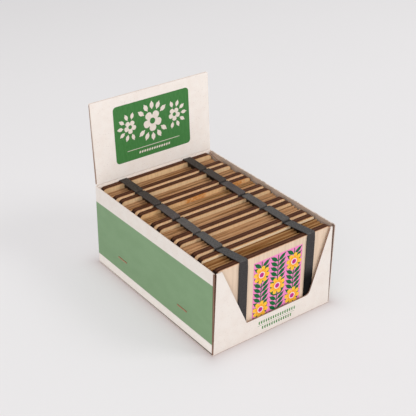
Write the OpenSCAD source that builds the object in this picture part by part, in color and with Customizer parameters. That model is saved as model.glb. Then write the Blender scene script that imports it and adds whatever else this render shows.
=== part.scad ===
/* [Press boards] */
// Width of a plywood board
board_w = 113.8; // [90:0.1:140]
// Height of a plywood board
board_h = 71.5; // [55:0.5:95]
// Thickness of a plywood board
ply_t = 4.6; // [3:0.1:6.5]
// Radius of a board's corners
corner_r = 4.2; // [2:0.1:9]

/* [Card stack] */
// Number of corrugated cards in each press
card_count = 4; // [2:1:6]
// Thickness of a corrugated card
card_t = 2.85; // [2:0.05:4]
// Thickness of a card's flat liners
liner_t = 0.4; // [0.25:0.05:0.5]
// Thickness of a card's waved middle sheet
medium_t = 0.35; // [0.2:0.05:0.4]
// Length of one wave of the middle sheet
flute_pitch = 6.4; // [4:0.1:9]
// How far a card's ends stay inside the boards
card_inset = 1.2; // [0.5:0.1:4]
// How far the cards' top edges lie below the boards' on average
card_drop = 3.3; // [1.5:0.1:5]
// How far the cards' lower edges stay above the boards' lower edges
card_foot = 1.2; // [0.5:0.1:3]
// Number of blotting sheets between two cards
sheet_count = 2; // [1:1:3]
// Thickness of a blotting sheet
sheet_t = 0.35; // [0.2:0.05:0.5]
// Air between two loose blotting sheets
sheet_air = 0.05; // [0.02:0.01:0.1]
// How far the blotting sheets stand above the cards
sheet_rise = 0.6; // [0.2:0.1:1.2]

/* [Straps] */
// Width of an elastic strap
strap_w = 8.6; // [5:0.1:12]
// Thickness of an elastic strap
strap_t = 1.1; // [0.8:0.1:2]
// Distance of each strap from the middle of its press
strap_reach = 33.2; // [20:0.1:40]

/* [Carton] */
// Thickness of the carton board
wall_t = 1; // [0.7:0.05:1.6]
// How far the left side wall stands above the boards
rim_rise = 1.2; // [0.5:0.1:4]
// How far the right side wall's torn top edge lies below the left side wall's
torn_drop = 0.9; // [0:0.1:2]
// How far the front panel stays below the side walls
front_drop = 1.7; // [0:0.1:4]
// Free space beside a press at each end
side_play = 2.2; // [2:0.05:6]
// Free space between the straps of two presses
press_gap = 1.3; // [0.4:0.05:3]
// Running gap between a press and the carton
seat_gap = 0.2; // [0.1:0.05:0.4]

/* [Front notch] */
// Height of the notch's foot above the table
notch_foot_z = 17; // [12:0.5:30]
// Distance of the notch's top from the left side wall
notch_left_tab = 7; // [4:0.5:12]
// Distance of the notch's left foot from the left side wall
notch_left_foot = 32; // [22:0.5:45]
// Distance of the notch's top from the right side wall
notch_right_tab = 3.8; // [3:0.1:12]
// Distance of the notch's right foot from the right side wall
notch_right_foot = 22.5; // [16:0.5:40]
// Radius of the notch's right foot
notch_round = 5; // [2:0.5:8]
// Radius of the notch's left foot
notch_crease = 1; // [0.5:0.1:3]

/* [Header] */
// Height of each header layer
header_h = 72.4; // [50:0.1:80]
// Radius of the header's top corners
header_corner = 0.8; // [0.5:0.1:6]
// Angle by which the header leans back
header_tilt = 4; // [0:0.5:10]
// Space between the two layers of the header
header_gap = 0.3; // [0.2:0.05:1]
// Space between the closed lid and the side walls
lid_gap = 0.2; // [0.1:0.05:0.5]

/* [Flaps and staples] */
// How far the glue flaps reach along the side walls
flap_reach = 18; // [12:0.5:24]
// How much a glue flap narrows at each end of its free edge
flap_taper = 5; // [2:0.5:10]
// Gap between a glue flap and a base flap
flap_gap = 1; // [0.3:0.1:3]
// Gap that opens between the front panel and each side wall towards the top
corner_gap = 1.9; // [0.5:0.1:3]
// Height of the base flaps inside the side walls
base_flap_h = 30; // [27:0.5:40]
// Length of a staple's crown
staple_w = 12.5; // [11:0.5:16]
// Thickness of the flat staple wire
staple_t = 0.5; // [0.3:0.05:0.6]
// Width of the flat staple wire
staple_wire_w = 0.9; // [0.6:0.1:1.5]
// Height of the staples above the table
staple_z = 22.4; // [16:0.1:25]
// Distance of each staple from the middle of the side wall
staple_reach = 42.3; // [25:0.1:52]
// Length of each bent staple point
staple_point = 4.5; // [3:0.5:5]

/* [Hidden] */
$fn = 48;
press_count = 6;
wave_steps = 6;
round_steps = 8;
// Overrun of a cut past the face that it opens
cut = 1;
// Space that the header's fold leaves between its layers when it is opened out
fold_relief = 0.05;

// Where each press stands in its free space sideways, front to back
shift_shares = [0.85, 0.65, 0.95, 0.85, 0.55, -0.85];
// How deep each stack of cards lies, front to back
drop_shares = [0.82, 0.82, 0.97, 1.09, 1.12, 1.33];
// How far each card of a stack sinks below the others, in turn
card_step_shares = [0, 0.16, -0.1, 0.08, 0.02, -0.06];
// Where each press's left and right strap lies, front to back
left_strap_shares = [1.015, 1.035, 1.045, 1.045, 1.04, 1.01];
right_strap_shares = [0.99, 0.98, 0.965, 0.96, 0.96, 0.975];

sheet_pitch = sheet_t + sheet_air;
layer_t = sheet_count * sheet_pitch;
stack_t = card_count * card_t + (card_count - 1) * layer_t + sheet_pitch;
press_t = 2 * ply_t + stack_t;
press_pitch = press_t + 2 * strap_t + press_gap;
end_gap = max(strap_t, wall_t) + seat_gap;
inner_w = board_w + 2 * side_play;
inner_l = (press_count - 1) * press_pitch + press_t + 2 * end_gap;
box_w = inner_w + 2 * wall_t;
box_l = inner_l + 2 * wall_t;
board_z = wall_t + seat_gap + strap_t;
box_h = board_z + board_h + rim_rise;
press_play = side_play - wall_t - staple_t;
front_h = box_h - front_drop;
hinge_y = box_l / 2;
hinge_z = box_h + lid_gap + wall_t;
card_w = board_w - 2 * card_inset;
// Half the swing of the middle sheet, which beds a little into both liners
wave_swing = (card_t - medium_t - liner_t) / 2;
flap_top = front_h - wall_t;

// The pieces of one press, in the order in which they are stacked
press_parts = ["front_board", "cards", "blotters", "back_board", "strap_left", "strap_right"];

// Extrudes a profile drawn across and up, along X
module along_x(from, length) {
    translate([from, 0, 0]) rotate([90, 0, 90]) linear_extrude(length) children();
}

// Extrudes a profile drawn sideways and up, towards the back
module towards_back(from, length) {
    translate([0, from + length, 0]) rotate([90, 0, 0]) linear_extrude(length) children();
}

// A rectangle with four round corners, centred sideways and standing on zero
module rounded_plate(w, h, r) {
    translate([-w / 2 + r, 0]) square([w - 2 * r, h]);
    translate([-w / 2, r]) square([w, h - 2 * r]);
    for (x = [-w / 2 + r, w / 2 - r], z = [r, h - r]) translate([x, z]) circle(r);
}

// Points of a round corner from one angle to another
function arc_points(centre, r, from, to) =
    [for (i = [0:round_steps]) let(a = from + (to - from) * i / round_steps)
        centre + r * [cos(a), sin(a)]];

// How far a notch side leans outwards from its foot to the panel's top edge
function notch_lean(tab, foot) = atan2(foot - tab, front_h - notch_foot_z);

// The carton

module carton_base() {
    color("burlywood")
    translate([-box_w / 2, -box_l / 2, 0]) cube([box_w, box_l, wall_t]);
}

// The holes of the staples' legs on one side, through the wall and the base flap behind it
module staple_holes(side) {
    for (y = [-staple_reach, staple_reach], end = [-1, 1])
        translate([side * inner_w / 2 - wall_t - cut,
                y + end * (staple_w - staple_t) / 2 - staple_t / 2, staple_z - staple_wire_w / 2])
            cube([2 * (wall_t + cut), staple_t, staple_wire_w]);
}

module side_wall(side) {
    color("darkseagreen")
    difference() {
        translate([side > 0 ? inner_w / 2 : -box_w / 2, -box_l / 2, wall_t])
            cube([wall_t, box_l, (side > 0 ? box_h - torn_drop : box_h) - wall_t]);
        staple_holes(side);
    }
}

// A flap turned up from the base, which the staples hold to the side wall
module base_flap(side) {
    end = inner_l / 2 - flap_reach - flap_gap;
    color("tan")
    difference() {
        translate([side > 0 ? inner_w / 2 - wall_t : -inner_w / 2, -end, wall_t])
            cube([wall_t, 2 * end, base_flap_h]);
        staple_holes(side);
    }
}

// One half of the notch, from its foot on one side to just past the middle
function notch_points(side, tab, foot, r) =
    let(lean = notch_lean(tab, foot), rise = front_h + cut - notch_foot_z, half = inner_w / 2 - foot)
    [for (p = concat(
            [[-rise * tan(lean), rise]],
            arc_points([r * tan((90 - lean) / 2), r], r, 180 + lean, 270),
            [[half + cut, 0], [half + cut, rise]]))
        [side * (half - p[0]), notch_foot_z + p[1]]];

module front_panel() {
    half = inner_w / 2;
    color("linen")
    difference() {
        towards_back(-box_l / 2, wall_t)
            polygon([[-half, wall_t], [half, wall_t],
                [half - corner_gap, front_h], [corner_gap - half, front_h]]);
        towards_back(-box_l / 2 - cut, wall_t + 2 * cut) {
            polygon(notch_points(-1, notch_left_tab, notch_left_foot, notch_crease));
            polygon(notch_points(1, notch_right_tab, notch_right_foot, notch_round));
        }
    }
}

module back_panel() {
    color("linen")
    translate([-inner_w / 2, inner_l / 2, wall_t]) cube([inner_w, wall_t, box_h - wall_t]);
}

// A glue flap folded from the front or back panel, which lies inside a side wall
module glue_flap(side, end) {
    fold = inner_l / 2;
    color("tan")
    along_x(side > 0 ? inner_w / 2 - wall_t : -inner_w / 2, wall_t)
        polygon([for (p = [
            [fold, wall_t],
            [fold - flap_reach, wall_t + flap_taper],
            [fold - flap_reach, flap_top - flap_taper],
            [fold, flap_top]])
            [end * p[0], p[1]]]);
}

// One bent staple, drawn from its crown inwards
module staple(side, y) {
    half = staple_w / 2;
    depth = 2 * wall_t + 2 * staple_t;
    translate([0, y, staple_z - staple_wire_w / 2]) linear_extrude(staple_wire_w)
        polygon([for (p = [
            [0, -half], [depth, -half], [depth, staple_point - half],
            [depth - staple_t, staple_point - half], [depth - staple_t, staple_t - half],
            [staple_t, staple_t - half], [staple_t, half - staple_t],
            [depth - staple_t, half - staple_t], [depth - staple_t, half - staple_point],
            [depth, half - staple_point], [depth, half], [0, half]])
            [side * (box_w / 2 + staple_t - p[0]), p[1]]]);
}

module staples() {
    color("peru")
    for (side = [-1, 1], y = [-staple_reach, staple_reach]) staple(side, y);
}

// The header

// Places a layer of the header, whose fold is at zero
module leaning() {
    translate([0, hinge_y, hinge_z]) rotate([-header_tilt, 0, 0]) children();
}

// A header layer with square lower corners and round upper ones
module header_sheet(from_y, foot, top) {
    towards_back(from_y, wall_t) {
        translate([0, foot]) rounded_plate(inner_w, top - foot, header_corner);
        translate([-inner_w / 2, foot]) square([inner_w, 2 * header_corner]);
    }
}

// The front layer, whose foot rolls round the fold
module header_panel() {
    color("linen")
    leaning() {
        header_sheet(-wall_t, 0, header_h - wall_t);
        along_x(-inner_w / 2, inner_w)
            intersection() {
                circle(wall_t);
                translate([-wall_t, -wall_t]) square(wall_t);
            }
    }
}

module header_backing() {
    color("tan")
    leaning() header_sheet(header_gap, 0, header_h - wall_t - fold_relief);
}

// The presses, numbered from the front

function press_x(i) = press_play * shift_shares[i - 1];
function front_y(i) = -inner_l / 2 + end_gap + (i - 1) * press_pitch;
function stack_y(i) = front_y(i) + ply_t;
function card_y(i, k) = stack_y(i) + k * (card_t + layer_t);
function card_h(i, k) =
    board_h - card_foot - card_drop * (drop_shares[i - 1] + card_step_shares[k]);

module board(i, from_y) {
    towards_back(from_y, ply_t) translate([press_x(i), board_z])
        rounded_plate(board_w, board_h, corner_r);
}

module front_board(i) {
    color("wheat") board(i, front_y(i));
}

module back_board(i) {
    color("wheat") board(i, front_y(i) + press_t - ply_t);
}

// The waved middle sheet of a card, seen from its end
module medium(h) {
    steps = ceil(h / flute_pitch * wave_steps);
    wave = [for (s = [0:steps]) let(z = h * s / steps)
        [card_t / 2 + wave_swing * sin(360 * z / flute_pitch), z]];
    polygon(concat(
        [for (p = wave) [p[0] - medium_t / 2, p[1]]],
        [for (s = [steps:-1:0]) [wave[s][0] + medium_t / 2, wave[s][1]]]));
}

// A corrugated card, seen from its end: two flat liners and the wave between them
module card_profile(h) {
    square([liner_t, h]);
    translate([card_t - liner_t, 0]) square([liner_t, h]);
    medium(h);
}

module cards(i) {
    color("tan")
    for (k = [0:card_count - 1])
        along_x(press_x(i) - card_w / 2, card_w)
            translate([card_y(i, k), board_z + card_foot]) card_profile(card_h(i, k));
}

// One loose sheet, whose face lies at y
module blotter(i, y, h) {
    translate([press_x(i) - card_w / 2, y + sheet_air / 2, board_z + card_foot])
        cube([card_w, sheet_t, h]);
}

// The sheets between the cards, and one more behind the last card of the front press
module blotters(i) {
    color("ivory") {
        for (k = [0:card_count - 2], s = [0:sheet_count - 1])
            blotter(i, card_y(i, k) + card_t + s * sheet_pitch, card_h(i, k) + sheet_rise);
        if (i == 1)
            blotter(i, card_y(i, card_count - 1) + card_t, board_h - 2 * card_foot);
    }
}

// An elastic strap, a closed band round both boards
module strap(i, x) {
    color("dimgray")
    along_x(press_x(i) + x - strap_w / 2, strap_w)
        translate([front_y(i) + press_t / 2, board_z])
            difference() {
                translate([0, -strap_t])
                    rounded_plate(press_t + 2 * strap_t, board_h + 2 * strap_t, strap_t);
                translate([-press_t / 2, 0]) square([press_t, board_h]);
            }
}

module strap_left(i) {
    strap(i, -strap_reach * left_strap_shares[i - 1]);
}

module strap_right(i) {
    strap(i, strap_reach * right_strap_shares[i - 1]);
}

carton_base();
side_wall(-1);  // side_wall_left
side_wall(1);  // side_wall_right
front_panel();
back_panel();
glue_flap(-1, -1);  // front_flap_left
glue_flap(1, -1);  // front_flap_right
glue_flap(-1, 1);  // back_flap_left
glue_flap(1, 1);  // back_flap_right
base_flap(-1);  // base_flap_left
base_flap(1);  // base_flap_right
staples();
header_panel();
header_backing();
for (i = [1:press_count]) {
    front_board(i);
    cards(i);
    blotters(i);
    back_board(i);
    strap_left(i);
    strap_right(i);
}
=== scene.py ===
import math
import random

import bpy
from mathutils import Matrix, Vector


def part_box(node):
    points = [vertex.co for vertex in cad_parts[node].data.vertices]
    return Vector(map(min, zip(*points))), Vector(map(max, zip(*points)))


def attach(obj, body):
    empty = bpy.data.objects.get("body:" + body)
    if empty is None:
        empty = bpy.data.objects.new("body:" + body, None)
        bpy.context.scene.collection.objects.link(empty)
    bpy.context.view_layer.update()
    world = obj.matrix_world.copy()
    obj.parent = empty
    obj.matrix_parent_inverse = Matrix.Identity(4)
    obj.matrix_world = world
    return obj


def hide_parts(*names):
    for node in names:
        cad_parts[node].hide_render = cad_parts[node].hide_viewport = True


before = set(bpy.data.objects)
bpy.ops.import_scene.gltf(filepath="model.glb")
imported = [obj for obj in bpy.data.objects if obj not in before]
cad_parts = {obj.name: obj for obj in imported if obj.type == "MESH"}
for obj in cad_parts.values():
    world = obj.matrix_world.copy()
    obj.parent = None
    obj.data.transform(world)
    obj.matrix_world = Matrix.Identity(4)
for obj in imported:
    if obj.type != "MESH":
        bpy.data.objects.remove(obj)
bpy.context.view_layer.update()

MM = 0.001
PRESSES = range(1, 7)
SIDES = ("left", "right")

# Sizes in millimetres, from the CAD nodes wherever they show them


def box_mm(node):
    """Lowest and highest corner of a CAD node, in millimetres."""
    low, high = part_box(node)
    return low / MM, high / MM


BASE_LOW, BASE_HIGH = box_mm("carton_base")
WALL = BASE_HIGH.z
BOARD_CORNER = 4.2

# The header folds a little above the side walls, and its second layer hangs a little behind the first
LID_GAP = 0.2
LAYER_GAP = 0.3
HEADER_TILT = math.radians(4)
HEADER_FOLD = Vector((0, BASE_HIGH.y, box_mm("side_wall_left")[1].z + LID_GAP + WALL))

# Thickness of one layer of printing ink
INK = 0.03

# Colours


def tone(red, green, blue):
    """A colour as it looks on screen, out of 255, as the shader's own values."""
    def linear(c):
        c /= 255
        return c / 12.92 if c <= 0.04045 else ((c + 0.055) / 1.055) ** 2.4
    return (linear(red), linear(green), linear(blue), 1)


def lifted(colour, by):
    """The tone of a colour made lighter by so much out of 255, or darker where that is below 0."""
    return tone(*(min(255, c + by) for c in colour))


# Shader maths


class Field:
    """A number or colour that changes over a surface, so that sums on it read as sums."""

    def __init__(self, nodes, socket):
        self.nodes, self.socket = nodes, socket

    def _math(self, operation, *terms):
        return self.nodes.node("ShaderNodeMath", {"operation": operation}, dict(enumerate(terms)))

    def __add__(self, other):
        return self._math("ADD", self, other)

    def __sub__(self, other):
        return self._math("SUBTRACT", self, other)

    def __rsub__(self, other):
        return self._math("SUBTRACT", other, self)

    def __mul__(self, other):
        return self._math("MULTIPLY", self, other)

    def __pow__(self, other):
        return self._math("POWER", self, other)

    def __abs__(self):
        return self._math("ABSOLUTE", self)

    __radd__ = __add__
    __rmul__ = __mul__

    def least(self, other):
        return self._math("MINIMUM", self, other)

    def most(self, other):
        return self._math("MAXIMUM", self, other)

    def sine(self):
        return self._math("SINE", self)

    def exponential(self):
        return self._math("EXPONENT", self)

    def rise(self, start, end):
        """From 0 at start to 1 at end, smoothly."""
        return self.nodes.node("ShaderNodeMapRange", {"interpolation_type": "SMOOTHSTEP"},
                               {"Value": self, "From Min": start, "From Max": end})

    def fall(self, start, end):
        """From 1 at start to 0 at end, smoothly."""
        return 1 - self.rise(start, end)


class Nodes:
    """The nodes of a material or of the world."""

    def __init__(self, owner):
        owner.use_nodes = True
        self.tree = owner.node_tree
        self.tree.nodes.clear()

    def node(self, kind, settings=None, sockets=None, out=0):
        """A new node's output, if any. Its settings are set first, then its sockets get values or links."""
        made = self.tree.nodes.new(kind)
        for name, value in (settings or {}).items():
            setattr(made, name, value)
        for name, value in (sockets or {}).items():
            self.join(value, made.inputs[name])
        return Field(self, made.outputs[out]) if made.outputs else None

    def join(self, value, socket):
        if isinstance(value, Field):
            self.tree.links.new(value.socket, socket)
        else:
            socket.default_value = value

    def backdrop_rays(self):
        """1 for the camera's rays and for those off gloss or through glass, and 0 for lighting."""
        camera, gloss, glass = (self.node("ShaderNodeLightPath", out=ray) for ray in (
            "Is Camera Ray", "Is Glossy Ray", "Is Transmission Ray"))
        return camera.most(gloss).most(glass)


class Finish(Nodes):
    """One material, laid out on the piece's own place in millimetres."""

    SEED_STEP = (7.3, 3.1, 5.7)

    def __init__(self, name, gloss=0.5, metal=0.0):
        self.material = bpy.data.materials.new(name)
        super().__init__(self.material)
        self.shader = self.node("ShaderNodeBsdfPrincipled", {}, {
            "Specular IOR Level": gloss, "Metallic": metal})
        self.place = self.node("ShaderNodeTexCoord", out="Object")
        mm = self.node("ShaderNodeVectorMath", {"operation": "SCALE"}, {0: self.place, "Scale": 1 / MM})
        self.x, self.y, self.z = (self.node("ShaderNodeSeparateXYZ", {}, {0: mm}, axis) for axis in "XYZ")

    def scaled(self, size, seed):
        """The place, with one unit to each size in millimetres along X, Y and Z."""
        size = size if isinstance(size, tuple) else (size, size, size)
        return self.node("ShaderNodeMapping", {}, {
            "Vector": self.place, "Scale": tuple(1 / (MM * s) for s in size),
            "Location": tuple(seed * step for step in self.SEED_STEP)})

    def noise(self, size, seed, detail=2):
        """Soft random clouds from 0 to 1, about as large as the size."""
        return self.node("ShaderNodeTexNoise", {}, {
            "Vector": self.scaled(size, seed), "Scale": 1.0, "Detail": detail})

    def cells(self, size, seed):
        """The distance from the nearest of many scattered points, in sizes."""
        return self.node("ShaderNodeTexVoronoi", {}, {"Vector": self.scaled(size, seed), "Scale": 1.0})

    def over(self, colour, top, mask, share=1):
        """The top colour laid over another where the mask is 1, as thickly as the share says."""
        mask = mask if share == 1 else mask * share
        return self.node("ShaderNodeMix", {"data_type": "RGBA"}, {0: mask, 6: colour, 7: top}, 2)

    def lay(self, colour, roughness, height=None, depth=0.1, unlit=0):
        """The finished material. The height runs from 0 to 1 over the depth in millimetres.

        Where it is seen as a backdrop, the unlit share of it shows the plain colour without shade.
        """
        sockets = self.shader.socket.node.inputs
        self.join(colour, sockets["Base Color"])
        self.join(roughness, sockets["Roughness"])
        if height is not None:
            bump = self.node("ShaderNodeBump", {}, {
                "Height": height, "Distance": depth * MM, "Strength": 1.0})
            self.join(bump, sockets["Normal"])
        surface = self.shader
        if unlit:
            plain = self.node("ShaderNodeEmission", {}, {"Color": colour})
            surface = self.node("ShaderNodeMixShader", {}, {
                0: self.backdrop_rays() * unlit, 1: self.shader, 2: plain})
        self.node("ShaderNodeOutputMaterial", {}, {"Surface": surface})
        return self.material


# Finishes of the carton


def flecks(paint, seed, painted_light):
    """The coated outside of the carton board, with small fibres and spots in it, made lighter or darker by
    painted light.
    """
    clouds = paint.noise(7, seed, detail=3).rise(0.3, 0.75)
    colour = paint.over(lifted((237, 229, 221), painted_light), lifted((234, 224, 215), painted_light), clouds)
    fibres = paint.noise((0.9, 0.9, 0.45), seed + 1, detail=3).rise(0.62, 0.76)
    colour = paint.over(colour, tone(176, 162, 153), fibres, share=0.32)
    spots = paint.cells(2.6, seed + 2).fall(0.08, 0.17)
    return paint.over(colour, tone(160, 140, 126), spots, share=0.25)


def kraft(paint, seed):
    """The bare inside of the carton board."""
    clouds = paint.noise(5, seed, detail=3)
    colour = paint.over(tone(196, 174, 157), tone(208, 188, 171), clouds)
    fibres = paint.noise((3, 3, 0.35), seed + 1, detail=3).rise(0.55, 0.75)
    return paint.over(colour, tone(168, 143, 124), fibres, share=0.4)


def cut_edge(paint, seed, pale, painted_light):
    """A cut through the board: brown, or pale where the coating runs over it, the pale made lighter by
    twice the painted light.
    """
    streaks = paint.noise((2.2, 2.2, 0.5), seed, detail=3)
    brown = paint.over(tone(126, 92, 76), tone(166, 130, 110), streaks)
    if pale is None:
        return brown
    painted_edge_light = 2 * max(painted_light, 0)
    coated = paint.over(lifted((218, 203, 192), painted_edge_light), lifted((230, 218, 208), painted_edge_light), streaks)
    return paint.over(brown, coated, pale(paint))


def wall_print(paint, seed, board):
    """A side wall's green band, a strip below it painted lighter as painted light, a dark line at its foot
    that is partly a brown edge and partly painted contact shade, and along its front fold a brown cut edge
    with painted shade of the gap.
    """
    band_foot, foot_slope = 10, 0.005
    band_top, top_slope = 62.3, 0.02
    blur = 0.15
    # Painted light: the board below the band is painted lighter.
    colour = paint.over(board, flecks(paint, seed, 15), paint.z.fall(8, 11))
    # A dark line at the wall's foot: partly a brown edge, partly painted contact shade.
    foot_edge_and_contact_shade = (paint.z + paint.y * 0.006).fall(1.5, 2.1)
    colour = paint.over(colour, tone(72, 54, 48), foot_edge_and_contact_shade, share=0.95)
    clouds = paint.noise((16, 16, 9), seed + 5, detail=4).rise(0.3, 0.75)
    green = paint.over(tone(133, 162, 124), tone(129, 158, 120), clouds)
    thin_ink = paint.noise(0.7, seed + 6).rise(0.6, 0.8)
    green = paint.over(green, tone(156, 178, 148), thin_ink, share=0.25)
    above_foot = (paint.z + paint.y * foot_slope).rise(band_foot - blur, band_foot + blur)
    below_top = (paint.z + paint.y * top_slope).fall(band_top - blur, band_top + blur)
    colour = paint.over(colour, green, above_foot * below_top)
    # Along the front fold: brown cut board, with painted shade of the gap behind the front panel.
    fold_edge_and_gap_shade = (paint.y - BASE_LOW.y).fall(0.5, 1.0)
    return paint.over(colour, tone(100, 66, 54), fold_edge_and_gap_shade, share=0.95)


def board_finish(name, depth_of, seed, printed=False, fold=None, pale=None, painted_light=0):
    """Carton board, coated where its depth is 0, bare where it is a wall thickness, cut between.

    The coating runs on round the board where fold is 1, and over a cut where pale is 1. The painted light
    makes the coating lighter or darker, to make up for more or less shade on the panel.
    """
    paint = Finish(name, gloss=0.25)
    depth = depth_of(paint)
    outside = flecks(paint, seed, painted_light)
    bare = depth.rise(0.94 * WALL, 0.97 * WALL)
    within = paint.over(cut_edge(paint, seed, pale, painted_light), kraft(paint, seed), bare)
    if printed:
        outside = wall_print(paint, seed, outside)
        # Painted shade of the gap in the front corner, on the inner half of the wall's cut and inside it.
        front_corner_shade = (paint.y - BASE_LOW.y).fall(2, 4) * depth.rise(0.5 * WALL, 0.7 * WALL)
        within = paint.over(within, tone(92, 60, 46), front_corner_shade, share=0.75)
    uncoated = depth.rise(0.04, 0.07)
    if fold is not None:
        uncoated = uncoated * (1 - fold(paint))
    grain = paint.noise((1.4, 1.4, 0.6), seed + 9, detail=4)
    return paint.lay(paint.over(outside, within, uncoated), 0.62 + 0.2 * grain, grain, 0.035)


def torn_finish():
    """Torn board: pale shreds and darker blots."""
    paint = Finish("torn_board", gloss=0.1)
    blots = paint.noise((4, 7, 4), 31, detail=3).rise(0.42, 0.62)
    colour = paint.over(tone(226, 214, 203), tone(182, 164, 150), blots)
    shreds = paint.noise((0.6, 0.9, 0.6), 32, detail=3)
    colour = paint.over(colour, tone(238, 230, 222), shreds.rise(0.55, 0.7), share=0.7)
    return paint.lay(colour, 0.9, shreds, 0.1)


def copper_finish():
    """Coppered staple wire, a little worn."""
    paint = Finish("coppered_wire", metal=1.0)
    worn = paint.noise((1.5, 1.5, 0.4), 1, detail=3)
    return paint.lay(paint.over(tone(206, 156, 132), tone(184, 134, 112), worn), 0.4 + 0.25 * worn)


def ink_finish(name, colour, shade):
    """Flat printing ink, a little uneven over the grain under it."""
    paint = Finish(name, gloss=0.2)
    uneven = paint.noise((1.2, 1.2, 5), len(name), detail=4)
    layer = paint.over(tone(*colour), tone(*shade), uneven.rise(0.3, 0.75))
    specks = paint.noise(0.35, 4).rise(0.66, 0.8)
    layer = paint.over(layer, lifted(colour, 40), specks, share=0.2)
    return paint.lay(layer, 0.5 + 0.15 * uneven, uneven, 0.02)


# Finishes of the presses, whose first one stands at the front

BACK_BOARD_WOOD = {1: (214, 178, 134), 2: (236, 204, 160), 3: (234, 202, 158),
                   4: (236, 196, 144), 5: (238, 206, 162), 6: (240, 206, 160)}
CARD_BROWN = {1: (168, 120, 74), 2: (200, 156, 114), 3: (198, 154, 112),
              4: (198, 154, 106), 5: (196, 152, 110), 6: (194, 150, 108)}
ELASTIC_GREY = {1: (77, 75, 74), 2: (82, 79, 77), 3: (86, 81, 78),
                4: (79, 72, 70), 5: (65, 58, 54), 6: (61, 54, 49)}

# How dark each press's last sheet is, and its straps where they turn down behind it, from 0 to 1
LAST_SHEET_SHADE = {2: 0.2, 3: 0.35, 4: 0.3, 5: 0.5, 6: 0.85}
STRAP_TURN_SHADE = {1: 0.85, 2: 0.35, 3: 0.95, 4: 0.7, 5: 0.5, 6: 0}


def shaded_by_straps(paint, number, colour, part=None):
    """The colour, nearly black right under a press's two straps, all over or on one part alone."""
    shade = 0
    for side in SIDES:
        low, high = box_mm(f"press_{number}_strap_{side}")
        shade = paint.x.rise(low.x + 1.6, low.x + 3.2) * paint.x.fall(high.x - 1, high.x + 0.6) + shade
    if part is not None:
        shade = part * shade
    return paint.over(colour, tone(28, 15, 8), shade, share=0.95)


def rim_inset(paint, low, high):
    """How far inside its rim, which has round corners, a place on a board lies."""
    centre, half = (low + high) / 2, (high - low) / 2
    across = abs(paint.x - centre.x) - (half.x - BOARD_CORNER)
    along = abs(paint.z - centre.z) - (half.z - BOARD_CORNER)
    from_corner = (across.most(0) ** 2 + along.most(0) ** 2) ** 0.5
    return BOARD_CORNER - from_corner - across.most(along).least(0)


def plywood_face(paint, seed, plain, inset, pores, grain):
    """Pale wood with grain and pores, smoked by the laser towards its rim."""
    face = paint.over(tone(*plain), lifted(plain, -13), grain.rise(0.3, 0.75))
    face = paint.over(face, lifted(plain, -46), pores.rise(0.58, 0.8), share=0.4)
    smoke = paint.noise((2.2, 2.2, 1.3), seed + 40, detail=3)
    face = paint.over(face, tone(222, 166, 112), (inset + smoke * 1.4).fall(0.8, 2.4), share=0.5)
    return paint.over(face, tone(140, 92, 60), (inset + smoke * 0.5).fall(0.35, 1.0), share=0.85)


def stained(paint, face):
    """Two orange stains in the wood of one board."""
    near_middle = abs(paint.x + 1).fall(8, 12)
    near_right_end = abs(paint.x - 43).fall(6, 9)
    blots = paint.noise((3, 3, 0.9), 61, detail=4).rise(0.38, 0.52)
    return paint.over(face, tone(208, 134, 60), blots * (near_middle + near_right_end), share=0.9)


def burnt_edge(paint, seed, low, high):
    """The laser's charred cut, a little paler along its core, with painted shade, near black, on its upper
    left corner where it turns down.
    """
    centre = (low + high) / 2
    char = paint.noise((7, 0.6, 0.6), seed + 60, detail=4)
    edge = paint.over(tone(56, 26, 8), tone(86, 46, 26), char.rise(0.3, 0.8))
    core = abs(paint.y - centre.y).fall(0.35, 0.95)
    edge = paint.over(edge, tone(120, 80, 58), core * char.rise(0.25, 0.7), share=0.45)
    # Painted shade: near black on the rounded upper corner at the left end, which turns away from the
    # light.
    turned = paint.z.fall(high.z - 1.6, high.z - 0.1) * paint.z.rise(high.z - 10, high.z - 5)
    left = (paint.x - centre.x).fall(-6, 6)
    return paint.over(edge, tone(30, 15, 6), turned * left, share=0.9)


def plywood_finish(number, side):
    """Laser-cut plywood, a front or a back board: pale faces and burnt edges."""
    low, high = box_mm(f"press_{number}_{side}_board")
    seed = number + (0.5 if side == "back" else 0)
    paint = Finish(f"plywood_{side}_{number}", gloss=0.12)
    pores = paint.noise((0.28, 0.28, 2.4), seed, detail=3)
    grain = paint.noise((1.3, 1.3, 26), seed + 20, detail=4)
    if side == "back":
        plain = BACK_BOARD_WOOD[number]
        from_inner_face = paint.y - low.y
    else:
        # The front boards behind the first are painted lighter: painted light that makes up for the shade
        # in the narrow gaps between presses.
        plain = (228, 204, 180) if number == 1 else (252, 220, 178)
        from_inner_face = high.y - paint.y
    face = plywood_face(paint, seed, plain, rim_inset(paint, low, high), pores, grain)
    if (number, side) == (4, "back"):
        face = stained(paint, face)
    face = shaded_by_straps(paint, number, face, part=from_inner_face.fall(0.5, 0.6))
    on_face = (paint.y - low.y).least(high.y - paint.y).fall(0.03, 0.06)
    colour = paint.over(burnt_edge(paint, seed, low, high), face, on_face)
    return paint.lay(colour, 0.52 + 0.22 * grain, pores, 0.05)


def card_finish(number):
    """Brown corrugated card, streaked along its layers."""
    brown = CARD_BROWN[number]
    paint = Finish(f"corrugated_card_{number}", gloss=0.1)
    streaks = paint.noise((40, 0.7, 4), number, detail=4).rise(0.4, 0.65)
    colour = paint.over(tone(*brown), lifted(brown, -46), streaks)
    fibres = paint.noise((2.5, 0.4, 0.4), number + 10, detail=3)
    colour = paint.over(colour, lifted(brown, -62), fibres.rise(0.6, 0.8), share=0.5)
    return paint.lay(shaded_by_straps(paint, number, colour), 0.85, fibres, 0.06)


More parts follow.
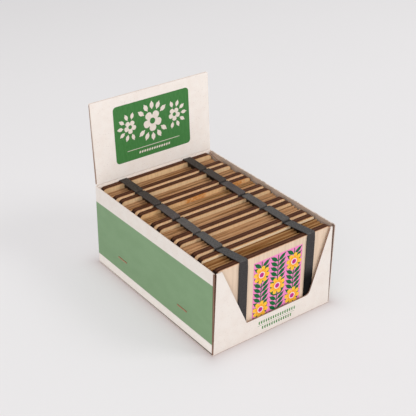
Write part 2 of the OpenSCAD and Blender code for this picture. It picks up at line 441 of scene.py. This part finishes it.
def blotter_finish(number):
    """Brown blotting sheets. The last one is pale in the front press, and in shade in the others."""
    brown = (178, 138, 92) if number == 1 else (204, 162, 120)
    last = box_mm(f"press_{number}_blotters")[1].y
    paint = Finish(f"blotting_paper_{number}", gloss=0.1)
    streaks = paint.noise((50, 0.8, 4), number + 5, detail=3).rise(0.45, 0.65)
    colour = paint.over(tone(*brown), lifted(brown, -50), streaks)
    if number == 1:
        colour = paint.over(colour, tone(244, 222, 186), paint.y.rise(last - 0.5, last - 0.42))
    else:
        colour = paint.over(colour, tone(96, 62, 36), paint.y.rise(last - 0.9, last - 0.5),
                            share=LAST_SHEET_SHADE[number])
    fluff = paint.noise(0.5, number, detail=4)
    return paint.lay(shaded_by_straps(paint, number, colour), 0.9, fluff, 0.05)


def elastic_finish(number):
    """Woven charcoal elastic, with fine threads across it, and painted shade where it turns down: darker on
    the front press's upright front, near black where the others turn down between presses and behind each
    press, and a painted shadow near black low on the front press's right strap.
    """
    grey = ELASTIC_GREY[number]
    high = box_mm(f"press_{number}_strap_left")[1]
    paint = Finish(f"elastic_{number}", gloss=0.08 if number == 1 else 0.15)
    radians_per_mm = 9
    threads = ((paint.y + paint.z) * radians_per_mm).sine() * 0.5 + 0.5
    fuzz = paint.noise(0.35, number, detail=3)
    worn = paint.noise((0.9, 1.3, 1.3), number + 4, detail=3).rise(0.3, 0.75)
    colour = paint.over(lifted(grey, -15), lifted(grey, 15), worn)
    if number == 1:
        # Painted shade: the upright front of the first press's straps is a darker grey.
        upright = paint.z.fall(high.z - 1.4, high.z - 0.4)
        colour = paint.over(colour, paint.over(tone(49, 47, 47), tone(66, 63, 63), worn), upright)
        # Painted shadow, near black and without threads, low on the right strap.
        shadow_low_on_right = paint.z.fall(32, 48) * paint.x.rise(-1, 1)
        colour = paint.over(colour, tone(5, 5, 5), shadow_low_on_right, share=0.97)
        threads = threads * (1 - shadow_low_on_right)
    else:
        # Painted shade, near black, where the straps turn down between presses.
        upright = paint.z.fall(high.z - 2.7, high.z - 0.8)
        colour = paint.over(colour, tone(12, 12, 12), upright, share=0.9)
    colour = paint.over(colour, lifted(grey, 30), threads * fuzz.rise(0.3, 0.7), share=0.4)
    behind = paint.y.rise(high.y - 2.5, high.y - 2.0)
    colour = paint.over(colour, tone(12, 11, 10), behind, share=STRAP_TURN_SHADE[number])
    return paint.lay(colour, 0.55 + 0.2 * fuzz, threads * 0.6 + fuzz * 0.4, 0.06)


# Modelling helpers


def choose(*pieces):
    """Selects these pieces and nothing else, in object mode, with the first one active."""
    if bpy.context.object and bpy.context.object.mode != "OBJECT":
        bpy.ops.object.mode_set(mode="OBJECT")
    bpy.ops.object.select_all(action="DESELECT")
    for piece in pieces:
        piece.select_set(True)
    bpy.context.view_layer.objects.active = pieces[0]


def edit(piece):
    choose(piece)
    bpy.ops.object.mode_set(mode="EDIT")
    bpy.ops.mesh.select_all(action="SELECT")


def done(piece):
    """Leaves edit mode and puts the piece's place in its mesh."""
    choose(piece)
    bpy.ops.object.transform_apply(location=True, rotation=True, scale=True)
    return piece


def pick(piece, kind, test):
    """Selects the faces, edges or points for which the test holds, and nothing else."""
    bpy.ops.mesh.select_all(action="DESELECT")
    modes = {"faces": "FACE", "edges": "EDGE", "points": "VERT"}
    bpy.ops.mesh.select_mode(type=modes[kind])
    bpy.ops.object.mode_set(mode="OBJECT")
    mesh = piece.data
    items = {"faces": mesh.polygons, "edges": mesh.edges, "points": mesh.vertices}[kind]
    for item in items:
        item.select = bool(test(item))
    bpy.ops.object.mode_set(mode="EDIT")


def cut_at(axis, places):
    """Cuts the piece that is being edited by planes square to X, Y or Z, at places in millimetres."""
    normal = Vector([float(axis == letter) for letter in "XYZ"])
    for place in places:
        bpy.ops.mesh.select_all(action="SELECT")
        bpy.ops.mesh.bisect(plane_co=normal * (place * MM), plane_no=normal)


def twin(piece, name, move=Matrix.Identity(4)):
    """A copy with its own mesh, moved as a whole."""
    copy = piece.copy()
    copy.data = piece.data.copy()
    copy.data.transform(move)
    copy.name = copy.data.name = name
    bpy.context.collection.objects.link(copy)
    return copy


def merged(pieces, name):
    choose(*pieces)
    bpy.ops.object.join()
    pieces[0].name = pieces[0].data.name = name
    return pieces[0]


def remove(piece):
    bpy.data.objects.remove(piece, do_unlink=True)


def coat(piece, material):
    """Makes the material the piece's only one."""
    piece.data.materials.clear()
    piece.data.materials.append(material)
    return piece


def fix(piece, body):
    """Fixes the piece to its body."""
    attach(piece, body)


def wear(node, material):
    """Gives a CAD node its finish."""
    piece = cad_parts[node]
    for slot in piece.material_slots:
        slot.link = "OBJECT"
        slot.material = material
    if not piece.material_slots:
        piece.data.materials.append(material)


# The presses and their elastic straps


def dress_presses():
    for number in PRESSES:
        for side in ("front", "back"):
            wear(f"press_{number}_{side}_board", plywood_finish(number, side))
        wear(f"press_{number}_cards", card_finish(number))
        wear(f"press_{number}_blotters", blotter_finish(number))


def model_strap(low, high):
    """A closed band round two boards, with cords along it, from a bevelled open cube."""
    middle, size = (low + high) / 2, high - low
    bend, thickness, cords = 1.6, 0.85, 18
    groove, border = 0.13, 0.16
    near = 0.02 * MM
    bpy.ops.mesh.primitive_cube_add(size=1, location=middle * MM)
    band = bpy.context.object
    band.scale = size * MM
    done(band)
    edit(band)
    pick(band, "faces", lambda f: abs(f.normal.x) > 0.5)
    bpy.ops.mesh.delete(type="FACE")

    def runs_across(edge):
        start, end = (band.data.vertices[i].co for i in edge.vertices)
        return abs((start - end).x) > MM

    pick(band, "edges", runs_across)
    bpy.ops.mesh.bevel(offset=bend * MM, segments=5, affect="EDGES")
    cut_at("Y", [low.y + share * size.y for share in (0.14, 0.26, 0.38, 0.5, 0.62, 0.74, 0.86)])
    cut_at("Z", [low.z + share * size.z for share in (0.1, 0.3, 0.5, 0.7, 0.9)])
    lines = [low.x + size.x * n / cords for n in range(1, cords)]
    cut_at("X", lines)
    grooves = [low.x] + lines[1::2] + [high.x]
    pick(band, "points", lambda v: any(abs(v.co.x - g * MM) < near for g in grooves))
    bpy.ops.transform.shrink_fatten(value=-groove * MM)
    pick(band, "points", lambda v: abs(abs(v.co.x - middle.x * MM) - size.x / 2 * MM) < near)
    bpy.ops.transform.shrink_fatten(value=-border * MM)
    done(band)
    draw_in(band, low, high)
    skin = band.modifiers.new("skin", "SOLIDIFY")
    skin.thickness, skin.offset = thickness * MM, -1
    bpy.ops.object.modifier_apply(modifier=skin.name)
    bpy.ops.object.shade_smooth()
    return band


def draw_in(band, low, high):
    """Makes a strap narrower on top, most where it bends, and lets it bulge a little between."""
    top_share, bend_share, fade = 0.94, 0.02, 14
    bulge = 0.1
    bent_from, flat_from = high.z - 2.5, high.z - 0.8
    middle = (low + high) / 2
    for point in band.data.vertices:
        along, up = point.co.y / MM, point.co.z / MM
        from_bend = min(along - low.y, high.y - along) / (high.y - low.y)
        if up > bent_from:
            width = top_share - bend_share * math.exp(-from_bend * fade)
            point.co.x = (middle.x + (point.co.x / MM - middle.x) * width) * MM
        if up > flat_from:
            point.co.z += bulge * MM * math.sin(math.pi * from_bend)


def fit_straps():
    """The same strap twice on each press, each slanted and moved a little aside, as it was put on."""
    first_slant, least_slant, most_slant = -0.17, -0.02, 0.01
    nudge = {"left": (0, 0, 0, -0.5, -0.2, -0.2), "right": (0.5, 0.5, 0, -0.5, 0.5, 0.4)}
    low, high = box_mm("press_1_strap_left")
    first = model_strap(low, high)
    chance = random.Random(11)
    for number in PRESSES:
        elastic = elastic_finish(number)
        for side in SIDES:
            node = f"press_{number}_strap_{side}"
            new_low, new_high = box_mm(node)
            shift = ((new_low + new_high) - (low + high)) / 2 * MM
            shift.x += nudge[side][number - 1] * MM
            centre = (new_low + new_high) / 2 * MM
            slant = Matrix.Identity(4)
            slant[0][1] = first_slant if number == 1 else chance.uniform(least_slant, most_slant)
            move = (Matrix.Translation(centre) @ slant @ Matrix.Translation(-centre)
                    @ Matrix.Translation(shift))
            strap = coat(twin(first, node.replace("strap", "elastic"), move), elastic)
            fix(strap, f"press_{number}")
            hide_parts(node)
    remove(first)


# Printed motifs, drawn flat with their faces up, one millimetre to a unit


def thicken(shape):
    """Gives a flat shape the thickness of the ink."""
    edit(shape)
    bpy.ops.mesh.extrude_region_move(TRANSFORM_OT_translate={"value": (0, 0, INK * MM)})
    bpy.ops.mesh.select_all(action="SELECT")
    bpy.ops.mesh.normals_make_consistent(inside=False)
    return done(shape)


def flat_disc(name, points, radius):
    bpy.ops.mesh.primitive_circle_add(vertices=points, radius=radius * MM, fill_type="NGON")
    disc = bpy.context.object
    disc.name = name
    return disc


def model_dot(radius):
    return thicken(flat_disc("disc", 20, radius))


def model_leaf(length, width):
    """A pointed leaf that starts at the origin and grows along Y."""
    tip_shares, tip_width = (0.03, 0.16), 0.45
    leaf = flat_disc("leaf", 16, 0.5)
    leaf.scale = (width, length, 1)
    leaf.location = (0, length / 2 * MM, 0)
    done(leaf)
    edit(leaf)
    for share in tip_shares:
        pick(leaf, "points", lambda v: min(v.co.y / MM, length - v.co.y / MM) < share * length)
        bpy.ops.transform.resize(value=(tip_width, 1, 1), center_override=(0, 0, 0))
    done(leaf)
    return thicken(leaf)


def model_blossom(radius, petals):
    """An open blossom: a disc whose rim is drawn in between one round petal and the next."""
    petal_points = 8
    drawn_in_shares = {0: 0.56, 1: 0.82, 7: 0.82, 2: 0.95, 6: 0.95}
    around = petals * petal_points
    blossom = flat_disc("blossom", around, radius)
    edit(blossom)

    def step_of(point):
        turn = math.atan2(point.co.y, point.co.x) / (2 * math.pi)
        return round((turn * around) % petal_points) % petal_points

    for step, share in drawn_in_shares.items():
        pick(blossom, "points", lambda v: step_of(v) == step)
        bpy.ops.transform.resize(value=(share, share, 1), center_override=(0, 0, 0))
    done(blossom)
    return thicken(blossom)


def model_plate(name, width, height, corner=0):
    """A flat rectangle centred on the origin, with round corners if they are asked for."""
    bpy.ops.mesh.primitive_plane_add(size=1)
    plate = bpy.context.object
    plate.name = name
    plate.scale = (width * MM, height * MM, 1)
    done(plate)
    edit(plate)
    if corner:
        bpy.ops.mesh.bevel(offset=corner * MM, segments=8, affect="VERTICES")
    done(plate)
    return thicken(plate)


def stamp(motif, places, name, level, material):
    """Copies of a motif at (x, y, turn, size), joined, so many layers of ink above the ground."""
    copies = []
    for x, y, turn, size in places:
        move = (Matrix.Translation((x * MM, y * MM, level * INK * MM))
                @ Matrix.Rotation(math.radians(turn), 4, "Z") @ Matrix.Diagonal((size, size, 1, 1)))
        copies.append(twin(motif, name, move))
    remove(motif)
    return coat(merged(copies, name), material)


def stand_up(piece, place, tilt=0.0):
    """Stands a flat print up so that it faces the front, leaning back by the tilt."""
    piece.data.transform(Matrix.Translation(place) @ Matrix.Rotation(math.pi / 2 - tilt, 4, "X"))


def print_inks():
    """Each printing ink, from its colour and the shade of its thicker spots."""
    colours = {
        "pink": ((240, 142, 196), (232, 128, 184)),
        "green": ((10, 106, 54), (4, 92, 44)),
        "gold": ((252, 200, 66), (246, 186, 50)),
        "amber": ((246, 170, 52), (240, 156, 46)),
        "magenta": ((196, 44, 140), (180, 34, 126)),
        "white": ((244, 226, 226), (236, 214, 216)),
        "label": ((70, 128, 68), (62, 119, 60)),
        "grass": ((66, 136, 60), (56, 124, 52)),
        "cream": ((236, 226, 214), (228, 216, 204)),
    }
    return {name: ink_finish(f"{name}_ink", colour, shade) for name, (colour, shade) in colours.items()}


def model_print(inks):
    """A plain garden pattern: upright leafy stems on pink, with five round blossoms over them."""
    width, height = 48.6, 61
    columns = (-width / 3, 0, width / 3)
    leaf_step, leaf_drop, leaf_turn = 4.5, 3.2, 52
    ground = coat(model_plate("ground", width, height), inks["pink"])
    leaves = []
    for x in columns:
        for row in range(-6, 7):
            leaves += [(x, row * leaf_step - leaf_drop, turn, 1) for turn in (leaf_turn, -leaf_turn)]
    stems = [(x, 0, 0, 1) for x in columns]
    middle_y, low_y, high_y, outer_turn = 1.5, -14.5, 17.5, 11
    blossoms = [(0, middle_y, 0, 1)]
    blossoms += [(x, y, outer_turn, 1) for x in columns[::2] for y in (low_y, high_y)]
    parts = [ground,
             stamp(model_plate("stem", width=0.9, height=59), stems, "stems", 1, inks["green"]),
             stamp(model_leaf(length=9.6, width=3.2), leaves, "leaves", 2, inks["green"]),
             stamp(model_blossom(radius=7.8, petals=8), blossoms, "petals", 3, inks["gold"]),
             stamp(model_blossom(radius=5, petals=8), blossoms, "inner_petals", 4, inks["amber"]),
             stamp(model_dot(radius=2.9), blossoms, "rings", 5, inks["white"]),
             stamp(model_dot(radius=2.1), blossoms, "hearts", 6, inks["magenta"])]
    return merged(parts, "print")


def print_boards(inks):
    """The same print on the front board of every press."""
    right_of_middle, height = 3.4, 36.6
    pattern = model_print(inks)
    for number in PRESSES:
        low, high = box_mm(f"press_{number}_front_board")
        copy = twin(pattern, f"press_{number}_print")
        stand_up(copy, Vector(((low.x + high.x) / 2 + right_of_middle, low.y, height)) * MM)
        fix(copy, f"press_{number}")
    remove(pattern)


def leaf_ring(x, y, radius, turns, size):
    """Places of leaves that point outwards from a ring, at turns in degrees from its right."""
    return [(x + radius * math.cos(math.radians(turn)), y + radius * math.sin(math.radians(turn)),
             turn - 90, size) for turn in turns]


def print_header(inks):
    """The header's green label: three blossoms in rings of leaves, a rule and a row of leaves."""
    bloom_y, side_x = 4.6, 22.5
    side_bloom, side_leaf = 0.64, 0.82
    ring, side_ring = 10.3, 6.6
    rule_y, row_y, row_step = -16.5, -21.6, 2.5
    label = coat(model_plate("label", width=76.2, height=51, corner=3.4), inks["label"])
    rule = coat(model_plate("rule", width=53.3, height=0.45), inks["cream"])
    rule.data.transform(Matrix.Translation((0, rule_y * MM, INK * MM)))
    turns = [n * 360 / 14 + 90 for n in range(14)]
    clear_of_sides = [turn for turn in turns if abs(math.cos(math.radians(turn))) < 0.93]
    leaves = leaf_ring(0, bloom_y, ring, clear_of_sides, 1)
    fan = range(-105, 106, 35)
    leaves += leaf_ring(-side_x, bloom_y, side_ring, [180 - turn for turn in fan], side_leaf)
    leaves += leaf_ring(side_x, bloom_y, side_ring, fan, side_leaf)
    row = [(n * row_step, row_y, -30, 1) for n in range(-6, 7)]
    blooms = [(x, bloom_y, 90, size) for x, size in ((0, 1), (-side_x, side_bloom), (side_x, side_bloom))]
    parts = [label, rule,
             stamp(model_leaf(length=7.6, width=3.9), leaves, "sprig", 1, inks["cream"]),
             stamp(model_blossom(radius=9.2, petals=5), blooms, "bloom", 1, inks["cream"]),
             stamp(model_dot(radius=2.7), blooms, "heart", 2, inks["label"]),
             stamp(model_leaf(length=2.9, width=1.6), row, "row", 1, inks["cream"])]
    print_piece = merged(parts, "header_label")
    above_fold, left_of_middle = 37.5, 0.4
    lean = Vector((0, math.sin(HEADER_TILT), math.cos(HEADER_TILT)))
    out = Vector((0, -math.cos(HEADER_TILT), math.sin(HEADER_TILT)))
    place = HEADER_FOLD + lean * above_fold + out * WALL - Vector((left_of_middle, 0, 0))
    stand_up(print_piece, place * MM, HEADER_TILT)
    fix(print_piece, "header")


def print_front(inks):
    """Two small leafy lines on the front panel, with a thin rule between them."""
    line_y, leaf_step, leaf_lift = 2.75, 2.4, 0.2
    right_of_middle, height = 3.0, 8.3
    leaves = []
    for y, count in ((line_y, 16), (-line_y, 13)):
        for n in range(count):
            x = (n - (count - 1) / 2) * leaf_step
            leaves += [(x, y - leaf_lift, -35, 1), (x, y + leaf_lift, -145, 1)]
    rule = coat(model_plate("rule", width=38, height=0.2), inks["grass"])
    leafy = stamp(model_leaf(length=2.1, width=1.3), leaves, "lines", 0, inks["grass"])
    lines = merged([rule, leafy], "front_lines")
    stand_up(lines, Vector((right_of_middle, box_mm("front_panel")[0].y, height)) * MM)
    fix(lines, "carton")


# The carton


def dress_carton():
    outer_x = BASE_HIGH.x
    left_top, right_top = (box_mm(f"side_wall_{side}")[1].z for side in SIDES)
    panel_top, backing_top = (box_mm(node)[1].z for node in ("front_panel", "header_backing"))
    coated_inside_from = 62

    def right_wall_pale(p):
        return p.z.rise(right_top - 1.1, right_top - 0.3).most((outer_x - p.x).fall(0.5, 0.6))

    def behind_front_layer(p):
        """How far behind the header's front layer a place lies, square to its lean."""
        y = (p.y - HEADER_FOLD.y) * math.cos(HEADER_TILT)
        return y - (p.z - HEADER_FOLD.z) * math.sin(HEADER_TILT)

    # Painted light: the front panel is a little darker, and the back panel, header and backing lighter, to
    # make up for more or less shade on each.
    finishes = {
        "carton_base": board_finish("base_board", lambda p: p.z, 1,
                                    fold=lambda p: p.z.rise(0.3, 0.4) * p.z.fall(0.93, 0.97)),
        "side_wall_left": board_finish("left_wall_board", lambda p: p.x + outer_x, 2, printed=True,
                                       pale=lambda p: p.z.rise(left_top - 1, left_top - 0.4)),
        "side_wall_right": board_finish("right_wall_board", lambda p: outer_x - p.x, 3, printed=True,
                                        pale=right_wall_pale),
        "front_panel": board_finish("front_board", lambda p: p.y - BASE_LOW.y, 4, painted_light=-4,
                                    pale=lambda p: p.z.rise(panel_top - 0.9, panel_top - 0.3)),
        "back_panel": board_finish("back_board", lambda p: BASE_HIGH.y - p.y, 5, painted_light=16,
                                   fold=lambda p: p.z.rise(coated_inside_from, coated_inside_from + 1)),
        "header_panel": board_finish("header_board", lambda p: behind_front_layer(p) + WALL, 9, painted_light=8,
                                     # The header's side cuts: pale at the top, brown below, the brown
                                     # partly cut board and partly painted shade of the gap between its
                                     # layers.
                                     pale=lambda p: p.z.rise(88, 135),
                                     fold=lambda p: p.z.fall(HEADER_FOLD.z + 0.6, HEADER_FOLD.z + 1)),
        "header_backing": board_finish("backing_board",
                                       lambda p: LAYER_GAP + WALL - behind_front_layer(p), 10, painted_light=8,
                                       pale=lambda p: p.z.rise(backing_top - 1.6, backing_top - 1.1)),
        "staples": copper_finish(),
    }
    for side, sign in (("left", -1), ("right", 1)):
        flap_board = board_finish(f"flap_board_{side}", lambda p: outer_x - WALL - sign * p.x, 6 + sign)
        for flap in ("front_flap", "back_flap", "base_flap"):
            finishes[f"{flap}_{side}"] = flap_board
    for node, material in finishes.items():
        wear(node, material)


def tear_edge():
    """The ragged strip of torn board along the right side wall's top."""
    width, inset, margin, cuts = 0.7, 0.45, 1.3, 90
    sunk, proud = 1.2, 0.1
    deep_share, deep = 0.14, 0.9
    low, high = box_mm("side_wall_right")
    bottom, top = high.z - sunk, high.z + proud
    length = high.y - low.y - 2 * margin
    places = [low.y + margin + length * n / cuts for n in range(cuts + 1)]
    bpy.ops.mesh.primitive_cube_add(size=1, location=Vector((high.x - inset, 0, (bottom + top) / 2)) * MM)
    strip = bpy.context.object
    strip.scale = Vector((width, length, top - bottom)) * MM
    done(strip)
    edit(strip)
    cut_at("Y", places[1:-1])
    chance = random.Random(5)
    for place in places:
        pick(strip, "points", lambda v: v.co.z / MM > top - 0.1 and abs(v.co.y / MM - place) < 0.3)
        torn_out = deep if chance.random() < deep_share else 0
        across, up = chance.uniform(-0.25, 0.05), chance.uniform(-0.4, 0.35) - torn_out
        bpy.ops.transform.translate(value=(across * MM, 0, up * MM))
    done(strip)
    strip.name = strip.data.name = "torn_edge"
    fix(coat(strip, torn_finish()), "carton")


# Camera, floor and light


def place_camera():
    """The camera of the photograph, with its angles in radians and its distance in metres."""
    azimuth, elevation, roll = -0.6527, 0.5232, 0.0122
    aim, distance = Vector((-3.8, 0, 72.9)) * MM, 0.7833
    back = Vector((math.sin(azimuth) * math.cos(elevation),
                   -math.cos(azimuth) * math.cos(elevation), math.sin(elevation)))
    level = Vector((math.cos(azimuth), math.sin(azimuth), 0))
    upright = back.cross(level)
    right = level * math.cos(roll) + upright * math.sin(roll)
    up = upright * math.cos(roll) - level * math.sin(roll)
    data = bpy.data.cameras.new("camera")
    data.lens, data.sensor_width = 83.9, 36
    data.clip_start, data.clip_end = 0.05, 20
    camera = bpy.data.objects.new("camera", data)
    turned = Matrix((right, up, back)).transposed().to_4x4()
    camera.matrix_world = Matrix.Translation(aim + back * distance) @ turned
    bpy.context.collection.objects.link(camera)
    bpy.context.scene.camera = camera


def floor_finish():
    """A pale paper floor, with painted shade that greys it towards its far end, and a painted contact
    shadow round the carton's foot.
    """
    paint = Finish("studio_floor", gloss=0.1)
    paper = paint.over(tone(237, 235, 235), tone(235, 233, 233), paint.noise(260, 3))
    # Painted shade: greyer towards the far end.
    paper = paint.over(paper, tone(213, 211, 211), paint.y.rise(150, 1500))
    # Painted contact shadow round the carton's foot, fading with the distance from it.
    beside = (abs(paint.x) - BASE_HIGH.x).most(0)
    before = (abs(paint.y) - BASE_HIGH.y).most(0)
    away = (beside ** 2 + before ** 2) ** 0.5
    fade = 7
    paper = paint.over(paper, tone(194, 180, 177), (away * (-1 / fade)).exponential(), share=0.8)
    return paint.lay(paper, 0.95, unlit=0.5)


def softbox(name, place, size, power):
    """A square area lamp that faces the carton."""
    aim = Vector((0, 0, 0.05))
    data = bpy.data.lights.new(name, "AREA")
    data.size, data.energy = size, power
    lamp = bpy.data.objects.new(name, data)
    lamp.location = place
    lamp.rotation_mode = "QUATERNION"
    lamp.rotation_quaternion = (Vector(place) - aim).to_track_quat("Z", "Y")
    bpy.context.collection.objects.link(lamp)


def light_world():
    """Even light from all round, with a pale backdrop behind the carton."""
    world = bpy.data.worlds.new("studio")
    bpy.context.scene.world = world
    sky = Nodes(world)
    light = sky.node("ShaderNodeBackground", {}, {"Color": tone(252, 252, 255), "Strength": 0.66})
    backdrop = sky.node("ShaderNodeBackground", {}, {"Color": tone(236, 235, 233), "Strength": 1.0})
    both = sky.node("ShaderNodeMixShader", {}, {0: sky.backdrop_rays(), 1: light, 2: backdrop})
    sky.node("ShaderNodeOutputWorld", {}, {"Surface": both})


def build_studio():
    bpy.ops.mesh.primitive_plane_add(size=6)
    floor = coat(bpy.context.object, floor_finish())
    floor.name = "studio_floor"
    light_world()
    softbox("key_lamp", place=(1.5, -1.6, 2.0), size=1.1, power=26)
    softbox("front_lamp", place=(-2.0, -1.7, 1.4), size=1.9, power=29)


place_camera()
bpy.ops.object.select_all(action="DESELECT")
build_studio()
dress_carton()
dress_presses()
tear_edge()
fit_straps()
inks = print_inks()
print_boards(inks)
print_header(inks)
print_front(inks)

bpy.context.scene.view_settings.view_transform = "Standard"
